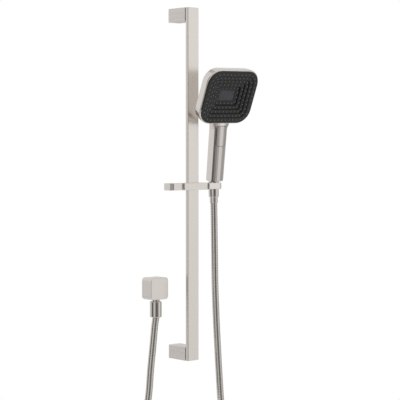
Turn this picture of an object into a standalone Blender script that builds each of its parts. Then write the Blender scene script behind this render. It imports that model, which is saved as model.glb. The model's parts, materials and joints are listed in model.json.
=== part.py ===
"""Hand shower on a flat slide rail, with its wall brackets, slider, metal hose and wall outlet.

The wall is the plane Y = 0 and the shower stands off it towards -Y. +X is to the right, +Z is up.
The origin is the centre of the upper bracket's back face. Everything is in metres.
"""

import math

import bmesh
import bpy
from mathutils import Matrix, Vector

MM = 0.001
GAP = 0.3 * MM  # left between two pieces that touch

# Rail: an upright flat bar
RAIL_LENGTH = 720 * MM
RAIL_WIDTH = 28.5 * MM
RAIL_THICKNESS = 7.5 * MM
RAIL_FRONT = -60.6 * MM
RAIL_BACK = RAIL_FRONT + RAIL_THICKNESS

# Brackets: square blocks flush with the two ends of the rail
BRACKET_WIDTH = 30.5 * MM
BRACKET_HEIGHT = 27.9 * MM
BRACKET_FRONT = RAIL_BACK + GAP
POCKET_WIDTH = 22 * MM
POCKET_HEIGHT = 19 * MM
POCKET_FLOOR = -34 * MM
BLOCK_FRONT = -20 * MM
SCREW_RADIUS = 2.4 * MM
SCREW_HOLE = 2.8 * MM

UPPER_Z = 0.0
RAIL_TOP = BRACKET_HEIGHT / 2
RAIL_BOTTOM = RAIL_TOP - RAIL_LENGTH
LOWER_Z = RAIL_BOTTOM + BRACKET_HEIGHT / 2

# Slider: a cross bar that wraps the rail, with a release button on the left and the holder on the right
SLIDER_Z = RAIL_BOTTOM + 357 * MM
BAR_HEIGHT = 14.3 * MM
BAR_LEFT = -54.2 * MM
BAR_RIGHT = 33.9 * MM
BAR_BACK = -45.0 * MM
BAR_FRONT = -63.6 * MM
PLATE_LEFT = -29.4 * MM
PLATE_RIGHT = 34.2 * MM
PLATE_FRONT = -68.0 * MM
PEG_PLACES = (-22 * MM, 18.8 * MM)  # one on each side of the rail
PEG_RADIUS = 1.4 * MM
LINER = 1.0 * MM
LINER_INNER_X = 9.5 * MM
CAP_LEFT = -64.4 * MM
CAP_RIGHT = -59.7 * MM
CAP_THICKNESS = 0.8 * MM
BUTTON_WALL = 0.6 * MM
STEM_BACK = -46.9 * MM
STEM_FRONT = -49.4 * MM
STEM_HALF_HEIGHT = 4.0 * MM
WEDGE_SLOPE = 0.16  # brake shoe travel for each unit of button travel
WEDGE_HALF_LENGTH = 8.0 * MM
SHOE_HALF_LENGTH = 7.5 * MM

# Holder: a block with a tapered seat for the hose nut, open towards +X
SEAT_X = 57.5 * MM
SEAT_Y = -58.0 * MM
HOLDER_LEFT = 34.5 * MM
HOLDER_RIGHT = 71.5 * MM
HOLDER_HALF_DEPTH = 13.2 * MM
HOLDER_HALF_HEIGHT = 6.5 * MM
HOLDER_CORNER = 8.0 * MM
SEAT_CLEARANCE = 0.45 * MM
HOSE_SLOT = 16.0 * MM
PIVOT_RADIUS = 3.8 * MM
PIVOT_START = 22.5 * MM
PIVOT_END = 42.0 * MM

# Handset, in its own frame: origin at the seat's centre, +Z along the hose nut's axis
HANDSET_LEAN = math.radians(1.0)  # it rests a little askew in its loose tapered seat
HANDSET_TURN = math.radians(1.7)
HANDLE_TILT = math.radians(7.4)
HEAD_TILT = math.radians(23.6)
HANDLE_BOTTOM = 10.6 * MM
HANDLE_HALF_DEPTH = 10.2 * MM
HANDLE_CROWN = 4.0 * MM
WATERWAY_OFFSET = 1.5 * MM
WATERWAY_RADIUS = 5.5 * MM
FACE_Y = -55.6 * MM
FACE_Z = 180.4 * MM
HEAD_WIDTH = 134.6 * MM
HEAD_HEIGHT = 117.3 * MM
HEAD_DEPTH = 24.5 * MM
HEAD_FLOOR = 19.5 * MM
HEAD_CORNER = 31.0 * MM
FACE_PLATE_DEPTH = 1.6 * MM
FACE_WALL = 1.6 * MM
TERRACE_DEPTHS = (0.2 * MM, 2.0 * MM, 4.7 * MM, 7.4 * MM, 10.4 * MM)  # from the rim inwards
FIRST_TERRACE_END = 13.4 * MM  # measured in from the head's outline
TERRACE_WIDTH = 8.1 * MM
RISER_RUN = 0.5 * MM
CENTRE_DEPTH = 11.4 * MM
MAT_THICKNESS = 1.2 * MM
NOZZLE_PITCH = 9.85 * MM
NOZZLE_HOLE = 2.05 * MM
NOZZLE_TIP = 1.5 * MM
NOZZLE_STAND = 1.2 * MM
CENTRE_WIDTH = 40 * MM
CENTRE_HEIGHT = 23.5 * MM
BUTTON_WIDTH = 23.4 * MM
BUTTON_LENGTH = 40.8 * MM
BUTTON_CENTRE = 104.6 * MM
BUTTON_CORNER = 4.5 * MM
BUTTON_BACK = -9.1 * MM
BUTTON_POCKET_FLOOR = -6.8 * MM
BUTTON_REVEAL = 0.7 * MM

# Hose and its two nuts
HOSE_RADIUS = 7.15 * MM
NUT_TOP = 8.5 * MM  # handset frame
NUT_BOTTOM = -23.1 * MM
NUT_RADIUS = 11.12 * MM  # at the seat's centre
NUT_TAPER = 0.030  # radius gained for each unit of height
FERRULE_BOTTOM = -35.5 * MM
FERRULE_RADIUS = 8.5 * MM
THREAD_RADIUS = 10.1 * MM
THREAD_END = -1.7 * MM
FLANGE_TOP = -5.2 * MM

# Wall outlet
OUTLET_X = -63.5 * MM
OUTLET_Z = RAIL_BOTTOM + 149.5 * MM
OUTLET_SIZE = 44.6 * MM
OUTLET_DEPTH = 30.2 * MM
OUTLET_CORNER = 6.5 * MM
SPIGOT_Y = -17.0 * MM
SPIGOT_TOP = OUTLET_Z - OUTLET_SIZE / 2
OUTLET_NUT_TOP = RAIL_BOTTOM + 122.8 * MM
OUTLET_NUT_BOTTOM = RAIL_BOTTOM + 90.9 * MM
OUTLET_NUT_RADIUS = 12.2 * MM

# The hanging hose, as (x, y, height above the rail's lower end) from the handset to the outlet
HOSE_ROUTE = (
    (59.0, -58.2, 270),
    (59.9, -58.4, 215),
    (60.7, -58.8, 155),
    (62.8, -59.5, 95),
    (65.9, -60.3, 34),
    (69.8, -61.2, -30),
    (75.6, -62.0, -105),
    (87.0, -62.0, -190),
    (100.0, -60.0, -275),
    (99.0, -57.0, -345),
    (66.0, -51.0, -402),
    (8.0, -43.0, -430),
    (-58.0, -34.0, -424),
    (-110.0, -27.0, -378),
    (-133.0, -22.0, -303),
    (-123.0, -19.0, -220),
    (-101.5, -17.3, -145),
    (-84.0, -17.0, -76),
    (-77.2, -17.0, -15),
    (-70.6, -17.0, 38),
    (-66.2, -17.0, 74),
)
HOSE_POINT_STEP = 30 * MM

SEGMENTS = 24


def material(name, colour, roughness, metallic):
    made = bpy.data.materials.new(name)
    made.use_nodes = True
    shader = made.node_tree.nodes["Principled BSDF"]
    shader.inputs["Base Color"].default_value = (*colour, 1.0)
    shader.inputs["Roughness"].default_value = roughness
    shader.inputs["Metallic"].default_value = metallic
    return made


def clear_scene():
    for thing in list(bpy.data.objects):
        bpy.data.objects.remove(thing, do_unlink=True)


# --- solids as bmesh ---------------------------------------------------------------------------


def closed(bm):
    """Faces pointing out, doubles on a turned shape's axis merged."""
    bmesh.ops.remove_doubles(bm, verts=bm.verts, dist=1e-6)
    bmesh.ops.recalc_face_normals(bm, faces=bm.faces)
    return bm


def loft(sections):
    """A solid through rings of points, all with the same number of points."""
    bm = bmesh.new()
    rings = [[bm.verts.new(point) for point in section] for section in sections]
    for lower, upper in zip(rings, rings[1:]):
        for i, vert in enumerate(lower):
            j = (i + 1) % len(lower)
            bm.faces.new((vert, lower[j], upper[j], upper[i]))
    bm.faces.new(list(reversed(rings[0])))
    bm.faces.new(rings[-1])
    return closed(bm)


def box(x, y, z):
    """An axis-aligned box between the two values of x, of y and of z."""
    corners = ((x[0], y[0]), (x[1], y[0]), (x[1], y[1]), (x[0], y[1]))
    return loft([[Vector((*corner, level)) for corner in corners] for level in z])


def turned(profile, at=(0, 0, 0), axis="Z", segments=SEGMENTS):
    """A solid of revolution from (radius, height) points; height runs along the axis from at."""
    turn = {"Z": Matrix.Identity(4), "X": Matrix.Rotation(math.pi / 2, 4, "Y")}
    turn["Y"] = Matrix.Rotation(-math.pi / 2, 4, "X")
    bm = bmesh.new()
    rings = []
    for radius, height in profile:
        angles = [math.tau * i / segments for i in range(segments if radius else 1)]
        rings.append(
            [bm.verts.new((radius * math.cos(a), radius * math.sin(a), height)) for a in angles]
        )
    for lower, upper in zip(rings, rings[1:] + rings[:1]):
        if len(lower) == len(upper) == 1:
            continue
        for i in range(segments):
            j = (i + 1) % segments
            corners = (lower[i % len(lower)], lower[j % len(lower)], upper[j % len(upper)], upper[i % len(upper)])
            bm.faces.new(list(dict.fromkeys(corners)))
    bmesh.ops.transform(bm, matrix=Matrix.Translation(at) @ turn[axis], verts=bm.verts)
    return closed(bm)


def rod(radius, start, end, at=(0, 0, 0), axis="Z", segments=SEGMENTS):
    return turned(((0, start), (radius, start), (radius, end), (0, end)), at, axis, segments)


def tube(inner, outer, start, end, at=(0, 0, 0), axis="Z", segments=SEGMENTS):
    corners = ((inner, start), (outer, start), (outer, end), (inner, end))
    return turned(corners, at, axis, segments)


def rounded_rectangle(width, height, corner, steps=6):
    """Outline points of a rectangle with round corners, counter-clockwise from the right-hand side."""
    outline = []
    for quarter, (side, up) in enumerate(((1, 1), (-1, 1), (-1, -1), (1, -1))):
        centre = Vector((side * (width / 2 - corner), up * (height / 2 - corner)))
        for step in range(steps + 1):
            angle = (quarter + step / steps) * math.pi / 2
            outline.append(centre + corner * Vector((math.cos(angle), math.sin(angle))))
    return outline


def slab(outlines, frame=Matrix.Identity(4)):
    """A solid through (depth, outline) pairs: outlines lie in the frame's XZ plane, depth along its Y."""
    return loft(
        [[frame @ Vector((p.x, depth, p.y)) for p in outline] for depth, outline in outlines]
    )


def joined(*pieces):
    """Several separate solids in one bmesh, for one cutter."""
    bm = bmesh.new()
    for piece in pieces:
        mesh = bpy.data.meshes.new("piece")
        piece.to_mesh(mesh)
        bm.from_mesh(mesh)
        bpy.data.meshes.remove(mesh)
        piece.free()
    return bm


# --- objects -----------------------------------------------------------------------------------


def mesh_object(name, bm, origin):
    mesh = bpy.data.meshes.new(name)
    bmesh.ops.translate(bm, verts=bm.verts, vec=-Vector(origin))
    bm.to_mesh(mesh)
    bm.free()
    mesh.shade_smooth()
    mesh.set_sharp_from_angle(angle=math.radians(35))
    made = bpy.data.objects.new(name, mesh)
    made.location = origin
    bpy.context.scene.collection.objects.link(made)
    return made


def piece(name, bm, finish, origin=(0, 0, 0), parent=None, bevel=0.0):
    """A sub-part: its mesh is given in its parent's frame, and its origin is set on its joint's axis."""
    made = mesh_object(name, bm, origin)
    made.data.materials.append(finish)
    made.parent = parent
    if bevel:
        rounding = made.modifiers.new("rounding", "BEVEL")
        rounding.width = bevel
        rounding.segments = 2
        rounding.limit_method = "ANGLE"
        rounding.angle_limit = math.radians(40)
    return made


def shape(target, bm, operation="DIFFERENCE", solver="EXACT"):
    """Cuts, joins or intersects a sub-part with a solid given in the same frame as its mesh."""
    name = f"{operation.lower()}_{target.name}_{len(target.modifiers)}"
    tool = mesh_object(name, bm, target.location)
    tool.parent = target.parent
    tool.hide_render = True
    tool.display_type = "WIRE"
    cut = target.modifiers.new(name, "BOOLEAN")
    cut.operation = operation
    cut.object = tool
    cut.solver = solver


def empty(name, location, rotation=(0, 0, 0)):
    made = bpy.data.objects.new(name, None)
    made.location = location
    made.rotation_euler = rotation
    bpy.context.scene.collection.objects.link(made)
    return made


def line_object(name, points, radius, finish, sides=2, origin=(0, 0, 0), parent=None):
    """A round bar along a chain of points."""
    curve = bpy.data.curves.new(name, "CURVE")
    curve.dimensions = "3D"
    curve.bevel_depth = radius
    curve.bevel_resolution = sides
    curve.use_fill_caps = True
    spline = curve.splines.new("POLY")
    spline.points.add(len(points) - 1)
    for target, point in zip(spline.points, points):
        target.co = (*(Vector(point) - Vector(origin)), 1.0)
    curve.materials.append(finish)
    made = bpy.data.objects.new(name, curve)
    made.location = origin
    made.parent = parent
    bpy.context.scene.collection.objects.link(made)
    return made


def coil_points(radius, length, turns, place):
    """Points of a helix about the place matrix's +Z axis."""
    steps = round(turns * 10)
    points = []
    for i in range(steps + 1):
        angle = math.tau * turns * i / steps
        height = length * i / steps
        points.append(place @ Vector((radius * math.cos(angle), radius * math.sin(angle), height)))
    return points


def smooth_route(route, step):
    """Evenly spaced points of the Catmull-Rom curve through a route."""
    knots = [2 * route[0] - route[1], *route, 2 * route[-1] - route[-2]]
    fine = []
    for a, b, c, d in zip(knots, knots[1:], knots[2:], knots[3:]):
        for i in range(40):
            t = i / 40
            fine.append(
                0.5
                * (
                    2 * b
                    + (c - a) * t
                    + (2 * a - 5 * b + 4 * c - d) * t**2
                    + (3 * b - a - 3 * c + d) * t**3
                )
            )
    fine.append(route[-1])
    lengths = [0.0]
    for a, b in zip(fine, fine[1:]):
        lengths.append(lengths[-1] + (b - a).length)
    count = round(lengths[-1] / step)
    points = []
    index = 0
    for i in range(count + 1):
        wanted = lengths[-1] * i / count
        while index < len(fine) - 2 and lengths[index + 1] < wanted:
            index += 1
        span = lengths[index + 1] - lengths[index]
        points.append(fine[index].lerp(fine[index + 1], (wanted - lengths[index]) / span))
    return points


# --- rail and brackets -------------------------------------------------------------------------


def rail(finish):
    bar = box(
        (-RAIL_WIDTH / 2, RAIL_WIDTH / 2), (RAIL_FRONT, RAIL_BACK), (RAIL_BOTTOM, RAIL_TOP)
    )
    made = piece("rail", bar, finish, bevel=0.8 * MM)
    hole = (RAIL_BACK - 5.5 * MM, RAIL_BACK + 1 * MM)
    for height in (UPPER_Z, LOWER_Z):
        shape(made, rod(SCREW_HOLE, *hole, at=(0, 0, height), axis="Y"))


def bracket(side, height, metal, zinc, steel):
    """One bracket with the block it hangs on, the wall screw, the locking screw and the rail's screw."""
    half = BRACKET_HEIGHT / 2
    body = box(
        (-BRACKET_WIDTH / 2, BRACKET_WIDTH / 2), (BRACKET_FRONT, 0), (height - half, height + half)
    )
    made = piece(f"{side}_bracket", body, metal, bevel=0.6 * MM)
    pocket_x = (-POCKET_WIDTH / 2, POCKET_WIDTH / 2)
    pocket_z = (height - POCKET_HEIGHT / 2, height + POCKET_HEIGHT / 2)
    shape(made, box(pocket_x, (POCKET_FLOOR, 1 * MM), pocket_z))
    at = (0, 0, height)
    shape(made, rod(SCREW_HOLE, BRACKET_FRONT - 1 * MM, POCKET_FLOOR + 1 * MM, at=at, axis="Y"))
    lock_at = (0, BLOCK_FRONT / 2, height)
    shape(made, rod(SCREW_HOLE, -half - 1 * MM, -POCKET_HEIGHT / 2 + 1 * MM, at=lock_at))

    inner_x = (pocket_x[0] + GAP, pocket_x[1] - GAP)
    inner_z = (pocket_z[0] + GAP, pocket_z[1] - GAP)
    block = piece(f"{side}_wall_block", box(inner_x, (BLOCK_FRONT, 0), inner_z), zinc, bevel=0.6 * MM)
    shape(block, rod(SCREW_HOLE, BLOCK_FRONT - 1 * MM, 1 * MM, at=at, axis="Y"))

    head = BLOCK_FRONT - GAP
    wall_screw = (
        (0, head - 3 * MM), (2.5 * MM, head - 3 * MM), (4.4 * MM, head - 1.6 * MM), (4.4 * MM, head),
        (SCREW_RADIUS, head), (SCREW_RADIUS, 0), (0, 0),
    )  # fmt: skip
    piece(f"{side}_wall_screw", turned(wall_screw, at=at, axis="Y", segments=16), steel)

    head = POCKET_FLOOR + GAP
    rail_screw = (
        (0, RAIL_BACK - 5 * MM), (SCREW_RADIUS, RAIL_BACK - 5 * MM), (SCREW_RADIUS, head),
        (4.2 * MM, head), (4.2 * MM, head + 3 * MM), (0, head + 3 * MM),
    )  # fmt: skip
    piece(f"{side}_rail_screw", turned(rail_screw, at=at, axis="Y", segments=16), steel)
    lock = rod(SCREW_RADIUS, -half + 0.4 * MM, -POCKET_HEIGHT / 2, at=lock_at, segments=16)
    piece(f"{side}_lock_screw", lock, steel)


# --- slider ------------------------------------------------------------------------------------


def bar_z(half_height):
    return (SLIDER_Z - half_height, SLIDER_Z + half_height)


def slider_body(finish):
    body = box((BAR_LEFT, BAR_RIGHT), (BAR_FRONT, BAR_BACK), bar_z(BAR_HEIGHT / 2))
    made = piece("slider_body", body, finish, bevel=0.5 * MM)
    beyond = BAR_HEIGHT
    slot = RAIL_WIDTH / 2 + 2 * GAP + LINER
    slot_y = (RAIL_FRONT - 2 * GAP - LINER, RAIL_BACK + 2 * GAP + LINER)
    shape(made, box((-slot, slot), slot_y, bar_z(beyond)))
    stem_y = (slot_y[1] - 1 * MM, STEM_BACK + 0.4 * MM)
    stem_x = (BAR_LEFT - 1 * MM, WEDGE_HALF_LENGTH + 5 * MM)
    shape(made, box(stem_x, stem_y, bar_z(STEM_HALF_HEIGHT + 0.6 * MM)))
    guide_y = (BAR_FRONT + 3.3 * MM, STEM_BACK + 0.4 * MM)
    shape(made, box((BAR_LEFT - 1 * MM, BAR_LEFT + 8.5 * MM), guide_y, bar_z(5.5 * MM)))
    pivot = (0, SEAT_Y, SLIDER_Z)
    shape(made, rod(PIVOT_RADIUS + GAP, PIVOT_START - GAP, BAR_RIGHT + 1 * MM, at=pivot, axis="X"))
    for x in PEG_PLACES:
        at = (x, 0, SLIDER_Z)
        shape(made, rod(PEG_RADIUS + GAP, BAR_FRONT - 1 * MM, BAR_FRONT + 4.6 * MM, at=at, axis="Y"))


def slider_plate(finish):
    plate = box((PLATE_LEFT, PLATE_RIGHT), (PLATE_FRONT, BAR_FRONT - GAP), bar_z(BAR_HEIGHT / 2))
    made = piece("slider_plate", plate, finish, bevel=0.5 * MM)
    for x in PEG_PLACES:
        at = (x, 0, SLIDER_Z)
        peg = rod(PEG_RADIUS, BAR_FRONT - 1.5 * MM, BAR_FRONT + 4 * MM, at=at, axis="Y")
        shape(made, peg, "UNION")


def glide_liner(name, side, finish):
    """A plastic channel between the slider and one edge of the rail."""
    outer = RAIL_WIDTH / 2 + GAP + LINER
    outer_y = (RAIL_FRONT - GAP - LINER, RAIL_BACK + GAP + LINER)
    half = BAR_HEIGHT / 2 - 0.4 * MM
    channel = box(sorted((side * LINER_INNER_X, side * outer)), outer_y, bar_z(half))
    made = piece(name, channel, finish)
    inner = RAIL_WIDTH / 2 + GAP
    inner_x = sorted((side * (LINER_INNER_X - 1 * MM), side * inner))
    shape(made, box(inner_x, (RAIL_FRONT - GAP, RAIL_BACK + GAP), bar_z(BAR_HEIGHT)))


def release_button(metal, grey, plastic, steel):
    """The sprung button: pressed, its wedge lets the brake shoe back off the rail."""
    origin = (CAP_LEFT, (BAR_BACK + BAR_FRONT) / 2, SLIDER_Z)
    outside_z = bar_z(BAR_HEIGHT / 2)
    cap = box((CAP_LEFT, CAP_LEFT + CAP_THICKNESS), (BAR_FRONT, BAR_BACK), outside_z)
    piece("release_button_cap", cap, metal, origin=origin, bevel=0.2 * MM)

    start = CAP_LEFT + CAP_THICKNESS + GAP
    floor = start + BUTTON_WALL
    body = box((start, CAP_RIGHT), (BAR_FRONT, BAR_BACK), outside_z)
    made = piece("release_button_stem", body, grey, origin=origin)
    inside_y = (BAR_FRONT + BUTTON_WALL, BAR_BACK - BUTTON_WALL)
    inside_z = bar_z(BAR_HEIGHT / 2 - BUTTON_WALL)
    shape(made, box((floor, CAP_RIGHT + 1 * MM), inside_y, inside_z))
    thin = STEM_BACK - 1.7 * MM
    thick = thin - 2 * WEDGE_HALF_LENGTH * WEDGE_SLOPE
    run_out = -WEDGE_HALF_LENGTH - 3 * MM
    outline = (
        (floor - 0.3 * MM, STEM_BACK), (floor - 0.3 * MM, STEM_FRONT), (run_out - 1 * MM, STEM_FRONT),
        (run_out, thin + 3 * MM * WEDGE_SLOPE), (WEDGE_HALF_LENGTH, thick),
        (WEDGE_HALF_LENGTH, STEM_BACK),
    )  # fmt: skip
    stem_z = bar_z(STEM_HALF_HEIGHT)
    stem = loft([[Vector((*corner, level)) for corner in outline] for level in stem_z])
    shape(made, stem, "UNION")

    spring_y = (STEM_FRONT + BAR_FRONT) / 2
    place = Matrix.Translation((floor + 0.5 * MM, spring_y, SLIDER_Z))
    place = place @ Matrix.Rotation(math.pi / 2, 4, "Y")
    wire = coil_points(2.6 * MM, 12 * MM, 6, place)
    line_object("release_button_spring", wire, 0.35 * MM, steel, sides=1, origin=origin)
    button_guide(plastic, spring_y)


def button_guide(plastic, spring_y):
    """The dark neck between button and bar: it guides the stem and houses the spring."""
    neck_x = (CAP_RIGHT - 0.2 * MM, BAR_LEFT - GAP)
    inset = BUTTON_WALL + 0.25 * MM
    neck_y = (BAR_FRONT + inset, BAR_BACK - inset)
    neck = box(neck_x, neck_y, bar_z(BAR_HEIGHT / 2 - inset))
    made = piece("button_guide", neck, plastic)
    plug_y = (BAR_FRONT + 3.6 * MM, STEM_BACK + 0.1 * MM)
    plug = box((neck_x[1] - 1 * MM, BAR_LEFT + 8.2 * MM), plug_y, bar_z(5.2 * MM))
    shape(made, plug, "UNION")
    passage_y = (STEM_FRONT - 0.4 * MM, STEM_BACK + 0.35 * MM)
    passage = (neck_x[0] - 1 * MM, BAR_LEFT + 10 * MM)
    shape(made, box(passage, passage_y, bar_z(STEM_HALF_HEIGHT + 0.35 * MM)))
    bore = (neck_x[0] - 1 * MM, BAR_LEFT + 5.5 * MM)
    shape(made, rod(3.4 * MM, *bore, at=(0, spring_y, SLIDER_Z), axis="X", segments=16))


def brake_shoe(rubber):
    """The wedge-backed pad that grips the rail's back face."""
    front = RAIL_BACK + GAP
    wedge = STEM_BACK - 1.7 * MM - GAP
    left_back = wedge - (WEDGE_HALF_LENGTH - SHOE_HALF_LENGTH) * WEDGE_SLOPE
    right_back = left_back - 2 * SHOE_HALF_LENGTH * WEDGE_SLOPE
    outline = (
        (-SHOE_HALF_LENGTH, front), (SHOE_HALF_LENGTH, front),
        (SHOE_HALF_LENGTH, right_back), (-SHOE_HALF_LENGTH, left_back),
    )  # fmt: skip
    shoe = loft(
        [[Vector((*corner, level)) for corner in outline] for level in bar_z(STEM_HALF_HEIGHT)]
    )
    piece("brake_shoe", shoe, rubber, origin=(0, front, SLIDER_Z))


def nut_radius(height):
    return NUT_RADIUS + NUT_TAPER * height


def holder(metal, steel, nylon):
    """The holder tilts on a pin along X; its seat is open on the right so the hose can pass."""
    pivot = (0, SEAT_Y, SLIDER_Z)
    length = HOLDER_RIGHT - HOLDER_LEFT
    middle = (HOLDER_LEFT + HOLDER_RIGHT) / 2
    half_height = HOLDER_HALF_HEIGHT
    left = middle - length / 2
    outline = [Vector((left, SEAT_Y - HOLDER_HALF_DEPTH))]
    for quarter, side in ((3, -1), (0, 1)):
        centre_y = SEAT_Y + side * (HOLDER_HALF_DEPTH - HOLDER_CORNER)
        centre = Vector((HOLDER_RIGHT - HOLDER_CORNER, centre_y))
        for step in range(7):
            angle = (quarter + step / 6) * math.pi / 2
            outline.append(centre + HOLDER_CORNER * Vector((math.cos(angle), math.sin(angle))))
    outline.append(Vector((left, SEAT_Y + HOLDER_HALF_DEPTH)))
    block = loft([[Vector((p.x, p.y, level)) for p in outline] for level in bar_z(half_height)])
    origin = (HOLDER_LEFT, SEAT_Y, SLIDER_Z)
    made = piece("holder", block, metal, origin=origin, bevel=0.5 * MM)
    reach = half_height + 2 * MM
    seat = [
        (0, -reach),
        (nut_radius(-reach) + SEAT_CLEARANCE, -reach),
        (nut_radius(reach) + SEAT_CLEARANCE, reach),
        (0, reach),
    ]
    shape(made, turned(seat, at=(SEAT_X, SEAT_Y, SLIDER_Z), segments=36))
    slot_y = (SEAT_Y - HOSE_SLOT / 2, SEAT_Y + HOSE_SLOT / 2)
    shape(made, box((SEAT_X, HOLDER_RIGHT + 2 * MM), slot_y, bar_z(reach)))
    shape(made, rod(PIVOT_RADIUS + GAP, HOLDER_LEFT - 1 * MM, PIVOT_END + GAP, at=pivot, axis="X"))
    shape(made, rod(6.1 * MM, HOLDER_LEFT - 1 * MM, HOLDER_LEFT + 1.2 * MM, at=pivot, axis="X"))

    pin = rod(PIVOT_RADIUS, PIVOT_START, PIVOT_END, at=pivot, axis="X")
    piece("holder_pin", pin, steel, origin=pivot, bevel=0.4 * MM)
    start = BAR_RIGHT + GAP
    washer = tube(PIVOT_RADIUS + GAP, 5.8 * MM, start, start + 1.2 * MM, at=pivot, axis="X")
    piece("holder_washer", washer, nylon, origin=pivot)


# --- handset -----------------------------------------------------------------------------------


def handle_frame():
    return Matrix.Rotation(HANDLE_TILT, 4, "X")


def head_frame():
    """Origin at the spray face's centre, X to the right, Y into the head, Z up the face."""
    place = Matrix.Translation((0, FACE_Y, FACE_Z))
    return place @ Matrix.Rotation(HEAD_TILT, 4, "X")


def crowned_section(front_half, back_half, front, back, level, frame):
    """A handle section: flat sides, a bowed front, and a back with round corners."""
    points = []
    for i in range(9):
        x = front_half * (i / 4 - 1)
        bow = HANDLE_CROWN * (1 - (x / front_half) ** 2)
        points.append(Vector((x, front - bow, level)))
    corner = min(5 * MM, (back - front) * 0.3)
    for side in (1, -1):
        centre = Vector((side * (back_half - corner), back - corner))
        for i in range(5):
            angle = i / 4 * math.pi / 2 if side > 0 else (1 + i / 4) * math.pi / 2
            x = centre.x + corner * math.cos(angle)
            points.append(Vector((x, centre.y + corner * math.sin(angle), level)))
    return [frame @ point for point in points]


def handle_solid():
    """The handle from its chamfered lower end to the root hidden inside the head."""
    depth = HANDLE_HALF_DEPTH
    stations = (
        (HANDLE_BOTTOM, 14.4 * MM, 14.4 * MM, -depth + 1.5 * MM, depth - 1.5 * MM),
        (HANDLE_BOTTOM + 1.6 * MM, 15.8 * MM, 15.8 * MM, -depth, depth),
        (119 * MM, 16.6 * MM, 16.6 * MM, -depth, depth),
        (123 * MM, 17.5 * MM, 16.8 * MM, -depth, depth),
        (127 * MM, 20.5 * MM, 17.4 * MM, -depth, depth),
        (138 * MM, 22.0 * MM, 18.5 * MM, -depth + 2 * MM, depth - 0.5 * MM),
        (160 * MM, 18.0 * MM, 16.0 * MM, -depth + 2 * MM, depth - 6 * MM),
    )
    frame = handle_frame()
    return loft(
        [
            crowned_section(front_half, back_half, front, back, level, frame)
            for level, front_half, back_half, front, back in stations
        ]
    )


def head_outline(inset):
    """The head's outline, drawn in by an inset, with the smallest corners kept round."""
    corner = max(HEAD_CORNER - inset, 5 * MM)
    return rounded_rectangle(HEAD_WIDTH - 2 * inset, HEAD_HEIGHT - 2 * inset, corner)


def handset_shell(metal, parent):
    """Head and handle in one casting: hollow head, waterway along the handle, pocket for the button."""
    head = head_frame()
    rim = FACE_PLATE_DEPTH + GAP
    dish = slab(
        (
            (rim, head_outline(1.9 * MM)),
            (rim + 0.5 * MM, head_outline(0.9 * MM)),
            (rim + 1.6 * MM, head_outline(0.2 * MM)),
            (rim + 3.2 * MM, head_outline(0)),
            (HEAD_DEPTH / 2, head_outline(0.6 * MM)),
            (HEAD_DEPTH - 3.4 * MM, head_outline(2.4 * MM)),
            (HEAD_DEPTH - 1 * MM, head_outline(4.4 * MM)),
            (HEAD_DEPTH, head_outline(8 * MM)),
        ),
        head,
    )
    made = piece("handset_shell", dish, metal, parent=parent)
    shape(made, handle_solid(), "UNION")
    clear = head_outline(-0.6 * MM)
    shape(made, slab(((-40 * MM, clear), (rim, clear)), head))
    hollow = head_outline(3.5 * MM)
    shape(made, slab(((0, hollow), (HEAD_FLOOR, hollow)), head))
    boss = rod(5 * MM, CENTRE_DEPTH + 3.4 * MM + GAP, HEAD_FLOOR + 1 * MM, axis="Y", segments=16)
    boss.transform(head)
    shape(made, boss, "UNION")
    thread = rod(1.7 * MM, 12 * MM, 21 * MM, axis="Y", segments=12)
    thread.transform(head)
    shape(made, thread)

    along = handle_frame()
    socket = rod(7.8 * MM, HANDLE_BOTTOM - 5 * MM, 26.3 * MM)
    socket.transform(along)
    shape(made, socket, solver="MANIFOLD")
    waterway = rod(WATERWAY_RADIUS + 0.35 * MM, 24 * MM, 142 * MM, at=(0, WATERWAY_OFFSET, 0))
    waterway.transform(along)
    shape(made, waterway, solver="MANIFOLD")
    reveal = BUTTON_REVEAL
    pocket = rounded_rectangle(
        BUTTON_WIDTH + 2 * reveal, BUTTON_LENGTH + 2 * reveal, BUTTON_CORNER + reveal
    )
    place = along @ Matrix.Translation((0, 0, BUTTON_CENTRE))
    shape(made, slab(((-20 * MM, pocket), (BUTTON_POCKET_FLOOR, pocket)), place), solver="MANIFOLD")
    stem_hole = rod(2.1 * MM, BUTTON_POCKET_FLOOR - 1 * MM, 0, axis="Y", segments=16)
    stem_hole.transform(place)
    shape(made, stem_hole, solver="MANIFOLD")


def terrace_ends():
    """How far in from the head's outline each terrace of the spray face ends."""
    return [FIRST_TERRACE_END + i * TERRACE_WIDTH for i in range(len(TERRACE_DEPTHS))]


def terraces(behind, outwards):
    """(depth, inset) steps down the terraces, for a surface set back behind the spray face."""
    steps = []
    ends = terrace_ends()
    for depth, deeper, end in zip(TERRACE_DEPTHS, TERRACE_DEPTHS[1:], ends):
        steps.append((depth + behind, end - outwards))
        steps.append((deeper + behind, end - outwards + RISER_RUN))
    return steps


def nozzle_places():
    """(x, depth, z) of each nozzle: one row along the middle of each terrace, evenly spaced."""
    places = []
    for depth, end in zip(TERRACE_DEPTHS, terrace_ends()):
        outline = head_outline(end - TERRACE_WIDTH / 2)
        ends = outline[1:] + outline[:1]
        perimeter = sum((b - a).length for a, b in zip(outline, ends))
        count = round(perimeter / NOZZLE_PITCH)
        wanted = [perimeter * (i + 0.5) / count for i in range(count)]
        walked = 0.0
        for a, b in zip(outline, ends):
            span = (b - a).length
            while wanted and wanted[0] <= walked + span:
                place = a.lerp(b, (wanted.pop(0) - walked) / span)
                places.append(Vector((place.x, depth, place.y)))
            walked += span
    return places


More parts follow.
